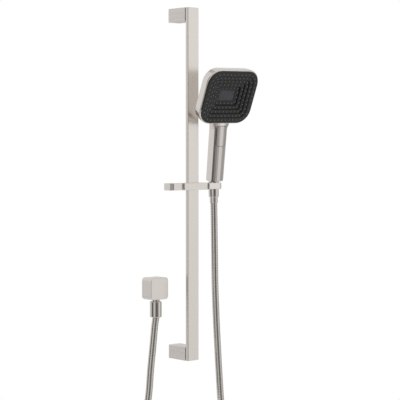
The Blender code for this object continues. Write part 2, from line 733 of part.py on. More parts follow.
def face_plate(black, parent):
    """The black spray face: a stepped dish, round at its rim, pierced for every nozzle."""
    head = head_frame()
    front = [(0, 3.2 * MM), (0.4 * MM, 2.5 * MM), (FACE_PLATE_DEPTH, 2.2 * MM)]
    rim = [(FACE_PLATE_DEPTH, 3.9 * MM), (6.5 * MM, 3.9 * MM), (6.5 * MM, 5.3 * MM)]
    back = [(TERRACE_DEPTHS[0] + FACE_WALL, 5.3 * MM), *terraces(FACE_WALL, 1.2 * MM)]
    inner = terrace_ends()[-1] - 2 * MM
    back.append((TERRACE_DEPTHS[-1] + FACE_WALL, inner))
    back.append((CENTRE_DEPTH + 3.4 * MM, inner))
    inwards = [(TERRACE_DEPTHS[0], 4.2 * MM), *terraces(0, 0)]
    profile = [*reversed(inwards), *front, *rim, *back]
    plate = slab([(depth, head_outline(inset)) for depth, inset in profile], head)
    made = piece("face_plate", plate, black, parent=parent)
    recess = rounded_rectangle(CENTRE_WIDTH, CENTRE_HEIGHT, 4 * MM)
    shape(made, slab(((0, recess), (CENTRE_DEPTH + 1 * MM, recess)), head))
    seat = CENTRE_DEPTH + 2.2 * MM
    screw_hole = turned(
        ((0, 8 * MM), (3.5 * MM, 8 * MM), (3.5 * MM, seat), (1.9 * MM, seat), (1.9 * MM, 20 * MM), (0, 20 * MM)),
        axis="Y",
        segments=16,
    )
    screw_hole.transform(head)
    shape(made, screw_hole)
    holes = [
        rod(NOZZLE_HOLE, p.y - 1 * MM, p.y + FACE_WALL + 1 * MM, at=(p.x, 0, p.z), axis="Y", segments=6)
        for p in nozzle_places()
    ]
    pierced = joined(*holes)
    pierced.transform(head)
    shape(made, pierced)


def nozzle_mat(silicone, parent):
    """The soft sheet behind the face plate, with a nozzle standing through each of its holes."""
    head = head_frame()
    near = FACE_WALL + GAP
    far = near + MAT_THICKNESS
    inner = terrace_ends()[-1] - 3.2 * MM
    first = TERRACE_DEPTHS[0]
    last = TERRACE_DEPTHS[-1]
    front = [(first + near, 5.9 * MM), *terraces(near, 1.7 * MM), (last + near, inner)]
    back = [(first + far, 5.9 * MM), *terraces(far, 2.9 * MM), (last + far, inner)]
    sheet = slab([(depth, head_outline(inset)) for depth, inset in [*reversed(front), *back]], head)
    made = piece("nozzle_mat", sheet, silicone, parent=parent)
    opening = head_outline(inner - 0.6 * MM)
    shape(made, slab(((last, opening), (last + 6 * MM, opening)), head))
    nozzles = [
        turned(
            (
                (0, p.y - NOZZLE_STAND), (NOZZLE_TIP, p.y - NOZZLE_STAND),
                (NOZZLE_TIP + 0.25 * MM, p.y + near + 0.4 * MM), (0, p.y + near + 0.4 * MM),
            ),
            at=(p.x, 0, p.z),
            axis="Y",
            segments=6,
        )
        for p in nozzle_places()
    ]  # fmt: skip
    standing = joined(*nozzles)
    standing.transform(head)
    shape(made, standing, "UNION", solver="MANIFOLD")


def face_trim(patch, steel, parent):
    """The screw that holds the face plate and the smooth cover that hides it."""
    head = head_frame()
    outline = rounded_rectangle(CENTRE_WIDTH - 2 * GAP, CENTRE_HEIGHT - 2 * GAP, 3.8 * MM)
    inner = rounded_rectangle(CENTRE_WIDTH - 4 * GAP, CENTRE_HEIGHT - 4 * GAP, 3.5 * MM)
    front = CENTRE_DEPTH - 0.3 * MM
    cover = slab(((front, inner), (front + 0.3 * MM, outline), (front + 1 * MM, outline)), head)
    piece("centre_cover", cover, patch, parent=parent)
    seat = CENTRE_DEPTH + 2.2 * MM - GAP
    profile = (
        (0, seat - 0.9 * MM), (3.2 * MM, seat - 0.9 * MM), (3.2 * MM, seat), (1.4 * MM, seat),
        (1.4 * MM, 20 * MM), (0, 20 * MM),
    )  # fmt: skip
    screw = turned(profile, axis="Y", segments=12)
    screw.transform(head)
    piece("face_screw", screw, steel, parent=parent)


def handle_internals(plastic, steel, metal, parent):
    along = handle_frame()
    origin = along @ Vector((0, 0, BUTTON_CENTRE))
    water = tube(
        4.2 * MM, WATERWAY_RADIUS, 28 * MM, BUTTON_CENTRE - 9 * MM, at=(0, WATERWAY_OFFSET, 0)
    )
    water.transform(along)
    piece("waterway_tube", water, plastic, parent=parent)

    valve = rod(
        WATERWAY_RADIUS, BUTTON_CENTRE - 8 * MM, BUTTON_CENTRE + 8 * MM, at=(0, WATERWAY_OFFSET, 0)
    )
    valve.transform(along)
    diverter = piece("diverter_body", valve, plastic, parent=parent)
    cross = rod(2.0 * MM, -8 * MM, 5 * MM, at=(0, 0, BUTTON_CENTRE), axis="Y", segments=16)
    cross.transform(along)
    shape(diverter, cross)
    lower_port = rod(1.5 * MM, -9 * MM, 0, at=(0, WATERWAY_OFFSET, BUTTON_CENTRE), segments=12)
    upper_port = rod(1.5 * MM, 0, 9 * MM, at=(0, WATERWAY_OFFSET, BUTTON_CENTRE), segments=12)
    for port in (lower_port, upper_port):
        port.transform(along)
        shape(diverter, port, solver="MANIFOLD")

    mode_button(metal, plastic, steel, origin, parent)
    inlet_thread(metal, parent)


def mode_button(metal, plastic, steel, origin, parent):
    """The long button on the handle's front, its stem into the diverter and its spring."""
    along = handle_frame()
    half = BUTTON_LENGTH / 2
    proud = 0.3 * MM
    front = -HANDLE_HALF_DEPTH - proud
    half_width = 16.4 * MM
    sections = []
    for level in (-half - 2 * MM, half + 2 * MM):
        ring = []
        for i in range(13):
            x = (BUTTON_WIDTH / 2 + 1 * MM) * (i / 6 - 1)
            bow = HANDLE_CROWN * (1 - (x / half_width) ** 2)
            ring.append(Vector((x, front - bow, level)))
        ring.append(Vector((BUTTON_WIDTH / 2 + 1 * MM, BUTTON_BACK, level)))
        ring.append(Vector((-BUTTON_WIDTH / 2 - 1 * MM, BUTTON_BACK, level)))
        place = along @ Matrix.Translation((0, 0, BUTTON_CENTRE))
        sections.append([place @ point for point in ring])
    made = piece("mode_button", loft(sections), metal, origin=origin, parent=parent)
    outline = rounded_rectangle(BUTTON_WIDTH, BUTTON_LENGTH, BUTTON_CORNER)
    place = along @ Matrix.Translation((0, 0, BUTTON_CENTRE))
    limits = slab(((-20 * MM, outline), (-4 * MM, outline)), place)
    shape(made, limits, "INTERSECT")

    stem = rod(1.7 * MM, BUTTON_BACK + GAP, 1 * MM, at=(0, 0, BUTTON_CENTRE), axis="Y", segments=16)
    stem.transform(along)
    piece("mode_button_stem", stem, plastic, origin=origin, parent=parent)
    start = Matrix.Translation((0, BUTTON_BACK + 0.35 * MM, BUTTON_CENTRE))
    coil = along @ start @ Matrix.Rotation(-math.pi / 2, 4, "X")
    wire = coil_points(3.4 * MM, 1.6 * MM, 2, coil)
    line_object(
        "mode_button_spring", wire, 0.25 * MM, steel, sides=1, origin=origin, parent=parent
    )


def inlet_thread(metal, parent):
    """The plated inlet: a plug in the handle's end and the male thread that the hose nut takes."""
    along = handle_frame()
    thread = rod(THREAD_RADIUS, THREAD_END, NUT_TOP + 0.3 * MM)
    made = piece("handset_inlet", thread, metal, parent=parent)
    plug = rod(7.5 * MM, 5 * MM, 26 * MM)
    plug.transform(along)
    shape(made, plug, "UNION")
    shape(made, rod(4.5 * MM, THREAD_END - 1 * MM, 8 * MM))
    bore = rod(4.5 * MM, 7 * MM, 27 * MM)
    bore.transform(along)
    shape(made, bore)


# --- hose --------------------------------------------------------------------------------------


def hose_nut_handset(metal, parent):
    """Tapered nut that turns freely on the hose end and rests in the holder's seat."""
    profile = [
        (8.9 * MM, NUT_BOTTOM),
        (nut_radius(NUT_BOTTOM) - 0.8 * MM, NUT_BOTTOM),
        (nut_radius(NUT_BOTTOM), NUT_BOTTOM + 0.8 * MM),
        (nut_radius(NUT_TOP), NUT_TOP - 0.5 * MM),
        (nut_radius(NUT_TOP) - 0.4 * MM, NUT_TOP),
        (THREAD_RADIUS + GAP, NUT_TOP),
        (THREAD_RADIUS + GAP, FLANGE_TOP - 2.6 * MM),
        (8.9 * MM, FLANGE_TOP - 2.6 * MM),
    ]
    piece("handset_hose_nut", turned(profile, segments=32), metal, parent=parent)


def ferrule_profile(top, bottom):
    """The hose end: a flange that the nut pulls up against its washer, and the crimped sleeve."""
    flange = 2.3 * MM
    return (
        (4.2 * MM, bottom), (FERRULE_RADIUS - 0.6 * MM, bottom), (FERRULE_RADIUS, bottom + 0.6 * MM),
        (FERRULE_RADIUS, top - flange), (9.8 * MM, top - flange), (9.8 * MM, top), (4.2 * MM, top),
    )  # fmt: skip


def hose_ends(metal, rubber, parent):
    hose_nut_handset(metal, parent)
    ferrule = turned(ferrule_profile(FLANGE_TOP, FERRULE_BOTTOM))
    piece("handset_ferrule", ferrule, metal, parent=parent)
    seal = tube(5.5 * MM, 9.6 * MM, FLANGE_TOP + GAP, THREAD_END - GAP)
    piece("handset_seal", seal, rubber, parent=parent)

    at = (OUTLET_X, SPIGOT_Y, 0)
    top, bottom = OUTLET_NUT_TOP, OUTLET_NUT_BOTTOM
    radius = OUTLET_NUT_RADIUS
    shoulder = bottom + 12.5 * MM
    profile = (
        (8.9 * MM, bottom), (radius - 1 * MM, bottom), (radius, bottom + 1 * MM),
        (radius, top - 1.2 * MM), (radius - 1.2 * MM, top), (THREAD_RADIUS + GAP, top),
        (THREAD_RADIUS + GAP, shoulder), (8.9 * MM, shoulder),
    )  # fmt: skip
    nut = turned(profile, at=at, segments=32)
    piece("outlet_hose_nut", nut, metal, origin=(*at[:2], bottom))
    flange_top = shoulder + 2.6 * MM
    sleeve = turned(ferrule_profile(flange_top, bottom + GAP), at=at)
    piece("outlet_ferrule", sleeve, metal)
    seal = tube(5.5 * MM, 9.6 * MM, flange_top + GAP, flange_top + 2.6 * MM, at=at)
    piece("outlet_seal", seal, rubber)


def hose(finish, handset):
    """The free hose, one hanging loop from the handset's ferrule to the outlet's."""
    leave = handset.matrix_local @ Vector((0, 0, FERRULE_BOTTOM - GAP))
    start = handset.matrix_local @ Vector((0, 0, FERRULE_BOTTOM - 20 * MM))
    route = [Vector((x * MM, y * MM, RAIL_BOTTOM + z * MM)) for x, y, z in HOSE_ROUTE]
    end = Vector((OUTLET_X, SPIGOT_Y, OUTLET_NUT_BOTTOM - 3 * MM))
    arrive = Vector((OUTLET_X, SPIGOT_Y, OUTLET_NUT_BOTTOM))
    points = [leave, *smooth_route([start, *route, end], HOSE_POINT_STEP), arrive]
    line_object("hose_tube", points, HOSE_RADIUS, finish)


# --- wall outlet -------------------------------------------------------------------------------


def outlet(metal, plastic):
    """The square elbow: threaded socket at the back, spigot for the hose underneath."""
    place = Matrix.Translation((OUTLET_X, 0, OUTLET_Z))
    full = rounded_rectangle(OUTLET_SIZE, OUTLET_SIZE, OUTLET_CORNER)
    softened = rounded_rectangle(OUTLET_SIZE - 1.6 * MM, OUTLET_SIZE - 1.6 * MM, OUTLET_CORNER - 0.8 * MM)
    body = slab(((-OUTLET_DEPTH, softened), (-OUTLET_DEPTH + 0.8 * MM, full), (0, full)), place)
    made = piece("outlet_body", body, metal)
    centre = (OUTLET_X, 0, OUTLET_Z)
    shape(made, rod(9.4 * MM, -16 * MM, 1 * MM, at=centre, axis="Y"))
    shape(made, rod(6 * MM, -19.3 * MM, -15 * MM, at=centre, axis="Y"))
    below = (OUTLET_X, SPIGOT_Y, OUTLET_Z)
    shape(made, rod(5 * MM, -OUTLET_SIZE / 2 - 1 * MM, 2.3 * MM, at=below), solver="MANIFOLD")
    socket = (-OUTLET_SIZE / 2 - 1 * MM, -OUTLET_SIZE / 2 + 8.3 * MM)
    shape(made, rod(7.3 * MM, *socket, at=below), solver="MANIFOLD")

    at = (OUTLET_X, SPIGOT_Y, 0)
    thread_top = OUTLET_NUT_TOP - 0.5 * MM
    thread_bottom = OUTLET_NUT_BOTTOM + 18.1 * MM
    profile = (
        (4.8 * MM, thread_bottom), (THREAD_RADIUS, thread_bottom), (THREAD_RADIUS, thread_top),
        (8.0 * MM, thread_top), (8.0 * MM, SPIGOT_TOP - GAP), (7 * MM, SPIGOT_TOP - GAP),
        (7 * MM, SPIGOT_TOP + 8 * MM), (4.8 * MM, SPIGOT_TOP + 8 * MM),
    )  # fmt: skip
    piece("outlet_spigot", turned(profile, at=at), metal)
    valve = tube(2.4 * MM, 4.5 * MM, SPIGOT_TOP - 12 * MM, SPIGOT_TOP + 2 * MM, at=at, segments=16)
    piece("check_valve", valve, plastic)


def main():
    clear_scene()
    nickel = material("brushed_nickel", (0.69, 0.65, 0.61), 0.34, 1.0)
    hose_metal = material("hose_metal", (0.62, 0.59, 0.56), 0.28, 1.0)
    steel = material("steel", (0.60, 0.60, 0.60), 0.35, 1.0)
    zinc = material("zinc", (0.48, 0.49, 0.50), 0.50, 1.0)
    grey = material("grey_plastic", (0.36, 0.34, 0.32), 0.45, 0.0)
    black = material("face_black", (0.030, 0.030, 0.030), 0.45, 0.0)
    silicone = material("nozzle_silicone", (0.060, 0.060, 0.060), 0.60, 0.0)
    patch = material("centre_grey", (0.060, 0.060, 0.072), 0.30, 0.0)
    plastic = material("dark_plastic", (0.150, 0.140, 0.130), 0.50, 0.0)
    nylon = material("white_nylon", (0.80, 0.80, 0.78), 0.50, 0.0)
    rubber = material("rubber", (0.030, 0.030, 0.030), 0.80, 0.0)

    rail(nickel)
    bracket("upper", UPPER_Z, nickel, zinc, steel)
    bracket("lower", LOWER_Z, nickel, zinc, steel)
    outlet(nickel, plastic)

    slider_body(nickel)
    slider_plate(nickel)
    glide_liner("glide_liner_left", -1, nylon)
    glide_liner("glide_liner_right", 1, nylon)
    release_button(nickel, grey, plastic, steel)
    brake_shoe(rubber)
    holder(nickel, steel, nylon)

    seat = (SEAT_X, SEAT_Y, SLIDER_Z)
    handset = empty("handset", seat, (0, -HANDSET_LEAN, -HANDSET_TURN))
    bpy.context.view_layer.update()
    handset_shell(nickel, handset)
    face_plate(black, handset)
    nozzle_mat(silicone, handset)
    face_trim(patch, steel, handset)
    handle_internals(plastic, steel, nickel, handset)
    hose_ends(nickel, rubber, handset)
    hose(hose_metal, handset)


main()
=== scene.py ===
"""A hand shower on its wall rail: looks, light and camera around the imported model.

Metres, +Z up. The wall plane is Y = 0 and the rail stands out towards -Y.
"""

import json
import math

import bmesh
import bpy
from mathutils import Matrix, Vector


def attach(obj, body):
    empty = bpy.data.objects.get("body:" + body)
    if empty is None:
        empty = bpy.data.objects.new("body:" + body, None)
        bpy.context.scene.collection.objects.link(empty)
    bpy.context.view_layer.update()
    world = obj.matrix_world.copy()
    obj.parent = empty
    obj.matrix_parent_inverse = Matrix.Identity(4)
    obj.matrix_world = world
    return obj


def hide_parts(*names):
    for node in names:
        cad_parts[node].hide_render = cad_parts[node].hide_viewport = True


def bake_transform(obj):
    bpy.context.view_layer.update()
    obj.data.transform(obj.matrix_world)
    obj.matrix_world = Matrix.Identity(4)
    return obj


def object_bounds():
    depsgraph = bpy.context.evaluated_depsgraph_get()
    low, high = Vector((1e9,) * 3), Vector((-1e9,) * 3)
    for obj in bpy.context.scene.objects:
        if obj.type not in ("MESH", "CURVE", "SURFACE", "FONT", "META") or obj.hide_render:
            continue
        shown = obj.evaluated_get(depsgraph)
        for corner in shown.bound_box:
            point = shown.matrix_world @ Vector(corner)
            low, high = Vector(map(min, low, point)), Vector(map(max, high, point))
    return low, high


MM = 0.001

# --- camera ------------------------------------------------------------------------------------

CAMERA_PLACE = (-1.85256, -2.21239, -0.2589)
CAMERA_AZIMUTH = math.radians(41)  # from +Y towards +X
CAMERA_DIP = math.radians(2.379)  # below the horizon
CAMERA_SENSOR = 36.0
CAMERA_LENS = 125.45
CAMERA_CLIP = (0.05, 50)


def link(made):
    """Puts a new object in the scene."""
    bpy.context.scene.collection.objects.link(made)
    return made


def facing(direction):
    """The turn that points a camera or a light along a direction, upright."""
    return direction.to_track_quat("-Z", "Y").to_euler()


def make_camera():
    level = math.cos(CAMERA_DIP)
    forward = Vector(
        (
            math.sin(CAMERA_AZIMUTH) * level,
            math.cos(CAMERA_AZIMUTH) * level,
            -math.sin(CAMERA_DIP),
        )
    )
    camera = bpy.data.cameras.new("camera")
    camera.sensor_width = CAMERA_SENSOR
    camera.lens = CAMERA_LENS
    camera.clip_start, camera.clip_end = CAMERA_CLIP
    made = link(bpy.data.objects.new("camera", camera))
    made.location = CAMERA_PLACE
    made.rotation_euler = facing(forward)
    bpy.context.scene.camera = made


# --- hose --------------------------------------------------------------------------------------

HOSE_RADIUS = 7.15 * MM
HOSE_PITCH = 3.4 * MM  # one turn of the wound strip
HOSE_SIDES = 24
HOSE_STEPS = 10  # points along each turn

# The points of a turn that carry a ring, and how far each ring lies below the strip's crown.
SEAM_STEP = 0
SEAM_DEPTH = 0.30 * MM
LIP_DEPTH = 0.02 * MM
RING_DEPTHS = {
    SEAM_STEP: SEAM_DEPTH,
    1: LIP_DEPTH,
    2: 0.0,
    HOSE_STEPS - 2: 0.0,
    HOSE_STEPS - 1: LIP_DEPTH,
}

# The centreline in mm, from the handset's ferrule down round the loop and up to the outlet's.
HOSE_ROUTE = (
    (58.1, -58.0, -384.8),
    (58.6, -58.0, -404.3),
    (59.0, -58.2, -436.05),
    (59.9, -58.4, -491.05),
    (60.7, -58.8, -551.05),
    (62.8, -59.5, -611.05),
    (65.9, -60.3, -672.05),
    (69.8, -61.2, -736.05),
    (75.6, -62.0, -811.05),
    (87.0, -62.0, -896.05),
    (100.0, -60.0, -981.05),
    (99.0, -57.0, -1051.05),
    (66.0, -51.0, -1108.05),
    (8.0, -43.0, -1136.05),
    (-58.0, -34.0, -1130.05),
    (-110.0, -27.0, -1084.05),
    (-133.0, -22.0, -1009.05),
    (-123.0, -19.0, -926.05),
    (-101.5, -17.3, -851.05),
    (-84.0, -17.0, -782.05),
    (-77.2, -17.0, -721.05),
    (-70.6, -17.0, -668.05),
    (-66.2, -17.0, -632.05),
    (-63.5, -17.0, -618.15),
    (-63.5, -17.0, -615.15),
)
ROUTE_PARTS = 60  # straight parts between two points of the route

# The heights of the spans for the handset's lift, the holder's tilt and the slide; the hose is cut
# at the bottom of each.
LIFT_SPAN = (-400 * MM, -475 * MM)
TILT_SPAN = (-475 * MM, -600 * MM)
SLIDE_SPAN = (-600 * MM, -1125 * MM)

# Each length of hose: its name, the bodies that it joins, its span, and the fittings with it.
HOSE_LENGTHS = (
    (
        "hose_upper",
        ("handset", "holder"),
        LIFT_SPAN,
        ("handset_hose_nut", "handset_ferrule", "handset_seal"),
    ),
    ("hose_middle", ("holder", "slider"), TILT_SPAN, ()),
    ("hose_lower", ("slider", "wall"), SLIDE_SPAN, ()),
    ("hose_return", ("wall",), None, ("outlet_hose_nut", "outlet_ferrule", "outlet_seal")),
)


def curve_through(knots, step):
    """Evenly spaced points, a step apart, of the Catmull-Rom curve through some knots."""
    ends = [2 * knots[0] - knots[1], *knots, 2 * knots[-1] - knots[-2]]
    fine = []
    for a, b, c, d in zip(ends, ends[1:], ends[2:], ends[3:]):
        for i in range(ROUTE_PARTS):
            t = i / ROUTE_PARTS
            bend = (2 * a - 5 * b + 4 * c - d) * t**2 + (3 * b - a - 3 * c + d) * t**3
            fine.append(0.5 * (2 * b + (c - a) * t + bend))
    fine.append(knots[-1])
    points = [fine[0]]
    left = step
    for a, b in zip(fine, fine[1:]):
        span = (b - a).length
        while left <= span:
            points.append(a.lerp(b, left / span))
            left += step
        left -= span
    return points


def ring(bm, centre, side, across, radius):
    """The vertices of one ring of the hose, from the side direction round past across."""
    verts = []
    for k in range(HOSE_SIDES):
        angle = 2 * math.pi * k / HOSE_SIDES
        outwards = side * math.cos(angle) + across * math.sin(angle)
        verts.append(bm.verts.new(centre + radius * outwards))
    return verts


def ribbed_tube(name, points):
    """A tube of wound metal strip along evenly spaced points, with painted shade in the seams
    between turns.
    """
    bm = bmesh.new()
    side = Vector((0, 1, 0))
    rings = []
    for i, point in enumerate(points):
        along = (points[min(i + 1, len(points) - 1)] - points[max(i - 1, 0)]).normalized()
        side = (side - along * side.dot(along)).normalized()
        step = i % HOSE_STEPS
        if step in RING_DEPTHS:
            radius = HOSE_RADIUS - RING_DEPTHS[step]
            rings.append((ring(bm, point, side, along.cross(side), radius), step == SEAM_STEP))
    for (here, seam_here), (after, seam_after) in zip(rings, rings[1:]):
        for k in range(HOSE_SIDES):
            n = (k + 1) % HOSE_SIDES
            face = bm.faces.new((here[k], here[n], after[n], after[k]))
            # Faces next to a seam ring take the dark seam finish: painted shade in the grooves
            # between turns.
            face.material_index = int(seam_here or seam_after)
    bm.faces.new(tuple(reversed(rings[0][0])))
    bm.faces.new(tuple(rings[-1][0]))
    bmesh.ops.recalc_face_normals(bm, faces=bm.faces[:])
    mesh = bpy.data.meshes.new(name)
    bm.to_mesh(mesh)
    bm.free()
    mesh.polygons.foreach_set("use_smooth", [True] * len(mesh.polygons))
    for finish in ("hose_strip", "hose_seam_shade"):
        mesh.materials.append(bpy.data.materials[finish])
    return link(bpy.data.objects.new(name, mesh))


def make_hose():
    """The hose in four lengths: three cut at the bottoms of the spans, and the way back."""
    points = curve_through([Vector(p) * MM for p in HOSE_ROUTE], HOSE_PITCH / HOSE_STEPS)
    cuts = [0]
    for _, bottom in (LIFT_SPAN, TILT_SPAN, SLIDE_SPAN):
        below = next(i for i, p in enumerate(points) if p.z < bottom)
        cuts.append(below // HOSE_STEPS * HOSE_STEPS)
    cuts.append(len(points) - 1)
    for (name, bodies, span, fittings), first, last in zip(HOSE_LENGTHS, cuts, cuts[1:]):
        path = points[first : last + 1]
        length = ribbed_tube(name, path)
        if span is None:
            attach(length, *bodies)
            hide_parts("hose_tube")
        else:
            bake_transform(length)


# --- materials ---------------------------------------------------------------------------------

NOISE_ROUGHNESS = 0.6
NOISE_MIDDLE = (0.3, 0.7)  # where nearly all of a noise's values lie

SCRATCH_DETAIL = 5.0
SCRATCHES_ACROSS = 420  # per metre
SCRATCHES_ALONG = 6
SCRATCH_DEPTH = 0.02 * MM
SCRATCH_GLOSS_SWING = 0.05
QUARTER_TURN = 0.25

SPECKLE_DETAIL = 4.0
SPECKLE_DEPTH = 0.05 * MM
SPECKLE_GLOSS_SWING = 0.06

NICKEL = (0.745, 0.700, 0.660)
SLIDER_NICKEL = (0.860, 0.806, 0.760)
RAIL_NICKEL = (0.770, 0.722, 0.680)
STRIP_NICKEL = (0.760, 0.715, 0.670)
# Painted shade: the dark colour put on the hose's grooves between turns.
SEAM_SHADE_NICKEL = (0.300, 0.280, 0.260)
STEEL = (0.56, 0.56, 0.57)
ZINC = (0.44, 0.45, 0.47)

# Each metal: colour, axes along which the scratches run, roughness, and what else differs.
METALS = {
    "nickel_upright": (RAIL_NICKEL, "Z", 0.26, {"strength": 0.05, "spread": 0.2}),
    "nickel_outlet": (NICKEL, "Z", 0.24, {"strength": 0.01, "contrast": 0.015}),
    "nickel_bracket": (NICKEL, "XY", 0.32, {"strength": 0.05, "contrast": 0.12, "spread": 0.3}),
    "nickel_across": (SLIDER_NICKEL, "XY", 0.42, {"strength": 0.05, "spread": 0.8}),
    "nickel_satin": (NICKEL, "Z", 0.14, {"strength": 0.03, "contrast": 0.02}),
    "nickel_turned": (NICKEL, "Z", 0.08, {"strength": 0.01, "contrast": 0.02}),
    "hose_strip": (STRIP_NICKEL, "XY", 0.05, {"strength": 0.0}),
    # Painted shade for the hose's grooves.
    "hose_seam_shade": (SEAM_SHADE_NICKEL, "XY", 0.3, {"strength": 0.0}),
    "steel": (STEEL, "XY", 0.3, {}),
    "zinc": (ZINC, "XYZ", 0.5, {"contrast": 0.1}),
}

# Each plastic or rubber: colour, roughness, and what else differs.
PLASTICS = {
    "grey_plastic": ((0.44, 0.42, 0.40), 0.42, {"contrast": 0.04}),
    "face_black": ((0.019, 0.019, 0.018), 0.42, {}),
    # Partly painted highlight: a grey silicone, made lighter than it is so the nozzle tips read as
    # catching the light.
    "nozzle_silicone": ((0.14, 0.14, 0.137), 0.45, {}),
    # Painted sheen: the coarse, strong tint of the centre cover stands in for the light and dark
    # patches of its reflections.
    "centre_grey": (
        (0.050, 0.050, 0.062),
        0.22,
        {"grain": 70, "contrast": 0.35, "strength": 0.02},
    ),
    "dark_plastic": ((0.05, 0.048, 0.045), 0.5, {}),
    "white_nylon": ((0.78, 0.78, 0.75), 0.45, {"contrast": 0.04}),
    "rubber": ((0.022, 0.022, 0.022), 0.7, {}),
}

# The nodes with a finish of their own. Any other takes the one named like its slot, or else
# the plain nickel.
PLAIN_NICKEL = "nickel_satin"
FINISHES = {
    "rail": "nickel_upright",
    "outlet_body": "nickel_outlet",
    "upper_bracket": "nickel_bracket",
    "lower_bracket": "nickel_bracket",
    "slider_body": "nickel_across",
    "slider_plate": "nickel_across",
    "release_button_cap": "nickel_across",
    "button_guide": "grey_plastic",
    "handset_hose_nut": "nickel_turned",
    "outlet_hose_nut": "nickel_turned",
    "handset_ferrule": "nickel_turned",
    "outlet_ferrule": "nickel_turned",
    "outlet_spigot": "nickel_turned",
    "handset_inlet": "nickel_turned",
}


class Shader:
    """A material's nodes, added one at a time."""

    def __init__(self, name, colour, roughness, metallic=0.0):
        self.material = bpy.data.materials.new(name)
        self.material.use_nodes = True
        self.nodes = self.material.node_tree.nodes
        self.links = self.material.node_tree.links
        self.surface = self.nodes["Principled BSDF"]
        self.set(self.surface, Base_Color=(*colour, 1), Roughness=roughness, Metallic=metallic)

    def set(self, node, **values):
        for name, value in values.items():
            node.inputs[name.replace("_", " ")].default_value = value

    def add(self, kind, **values):
        node = self.nodes.new(kind)
        self.set(node, **values)
        return node

    def join(self, source, target, socket):
        self.links.new(source, target.inputs[socket])

    def noise(self, scale, detail, density=(1, 1, 1)):
        """Noise on the object's own coordinates, drawn out along the axes of low density."""
        place = self.add("ShaderNodeTexCoord")
        mapping = self.add("ShaderNodeMapping", Scale=density)
        self.join(place.outputs["Object"], mapping, "Vector")
        noise = self.add(
            "ShaderNodeTexNoise", Scale=scale, Detail=detail, Roughness=NOISE_ROUGHNESS
        )
        self.join(mapping.outputs["Vector"], noise, "Vector")
        return noise.outputs["Fac"]

    def tint(self, source, colour, contrast):
        """The colour, darker by the contrast where a noise is low and lighter where it is high."""
        ramp = self.add("ShaderNodeValToRGB")
        factors = (1 - contrast, 1 + contrast)
        for element, position, factor in zip(ramp.color_ramp.elements, NOISE_MIDDLE, factors):
            element.position = position
            element.color = (*(c * factor for c in colour), 1)
        self.join(source, ramp, "Fac")
        self.join(ramp.outputs["Color"], self.surface, "Base Color")

    def gloss(self, source, roughness, swing):
        """Roughness that follows a noise, up to a swing either way."""
        low, high = NOISE_MIDDLE
        ranged = self.add(
            "ShaderNodeMapRange",
            From_Min=low,
            From_Max=high,
            To_Min=roughness - swing,
            To_Max=roughness + swing,
        )
        self.join(source, ranged, "Value")
        self.join(ranged.outputs["Result"], self.surface, "Roughness")

    def bump(self, source, strength, distance):
        bump = self.add("ShaderNodeBump", Strength=strength, Distance=distance)
        self.join(source, bump, "Height")
        self.join(bump.outputs["Normal"], self.surface, "Normal")


def brushed(name, colour, grain, roughness, strength=0.12, contrast=0.05, spread=0.0):
    """Brushed metal: fine scratches drawn out along the grain, in colour, gloss and relief.

    Reflections spread across the scratches, so level ones turn the spread a quarter round.
    """
    shader = Shader(name, colour, roughness, metallic=1.0)
    turn = 0.0 if grain == "Z" else QUARTER_TURN
    shader.set(shader.surface, Anisotropic=spread, Anisotropic_Rotation=turn)
    density = tuple(SCRATCHES_ALONG if axis in grain else SCRATCHES_ACROSS for axis in "XYZ")
    scratches = shader.noise(1.0, SCRATCH_DETAIL, density)
    shader.tint(scratches, colour, contrast)
    shader.gloss(scratches, roughness, SCRATCH_GLOSS_SWING)
    shader.bump(scratches, strength, SCRATCH_DEPTH)
    return shader.material


def moulded(name, colour, roughness, grain=900, contrast=0.12, strength=0.1):
    """Moulded plastic or rubber: a fine even texture with slightly uneven gloss."""
    shader = Shader(name, colour, roughness)
    speckle = shader.noise(grain, SPECKLE_DETAIL)
    shader.tint(speckle, colour, contrast)
    shader.gloss(speckle, roughness, SPECKLE_GLOSS_SWING)
    shader.bump(speckle, strength, SPECKLE_DEPTH)
    return shader.material


def make_materials():
    metals = {
        name: brushed(name, colour, grain, roughness, **other)
        for name, (colour, grain, roughness, other) in METALS.items()
    }
    plastics = {
        name: moulded(name, colour, roughness, **other)
        for name, (colour, roughness, other) in PLASTICS.items()
    }
    return metals | plastics


def finish_nodes(frame, materials):
    """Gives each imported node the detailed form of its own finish."""
    for name, node in frame["nodes"].items():
        plain = node.material_slots[0].material.name.split(".")[0]
        finish = FINISHES.get(name, plain)
        node.material_slots[0].material = materials.get(finish, materials[PLAIN_NICKEL])


# --- painted shade in the button's gap ---------------------------------------------------------

GAP_SHADE_STANDS_OUT = 0.5 * MM
GAP_SHADE_SET_BACK = 0.45 * MM
GAP_SHADE_DEPTH_SHARE = 0.8  # of the button's own depth


def make_button_gap_shade(frame, materials):
    """A dark ring in the gap round the mode button, as painted shade there: the button's own form,
    wider and set back.
    """
    press = next(joint for joint in frame["joints"] if joint["name"] == "mode_button_press")
    inwards = Vector(press["axis"]).normalized()
    bm = bmesh.new()
    bm.from_mesh(frame["nodes"]["mode_button"].data)
    bm.normal_update()
    front = min(v.co.dot(inwards) for v in bm.verts)
    for v, outwards in [(v, v.normal.copy()) for v in bm.verts]:
        depth = v.co.dot(inwards) - front
        sideways = outwards - inwards * outwards.dot(inwards)
        v.co += GAP_SHADE_STANDS_OUT * sideways
        v.co += (GAP_SHADE_SET_BACK + depth * (GAP_SHADE_DEPTH_SHARE - 1)) * inwards
    mesh = bpy.data.meshes.new("mode_button_gap_shade")
    bm.to_mesh(mesh)
    bm.free()
    mesh.materials.clear()
    # The dark rubber finish is what makes the ring read as the shade in the gap.
    mesh.materials.append(materials["rubber"])
    gap_shade = link(bpy.data.objects.new("mode_button_gap_shade", mesh))
    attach(gap_shade, "mode_button")


# --- studio ------------------------------------------------------------------------------------

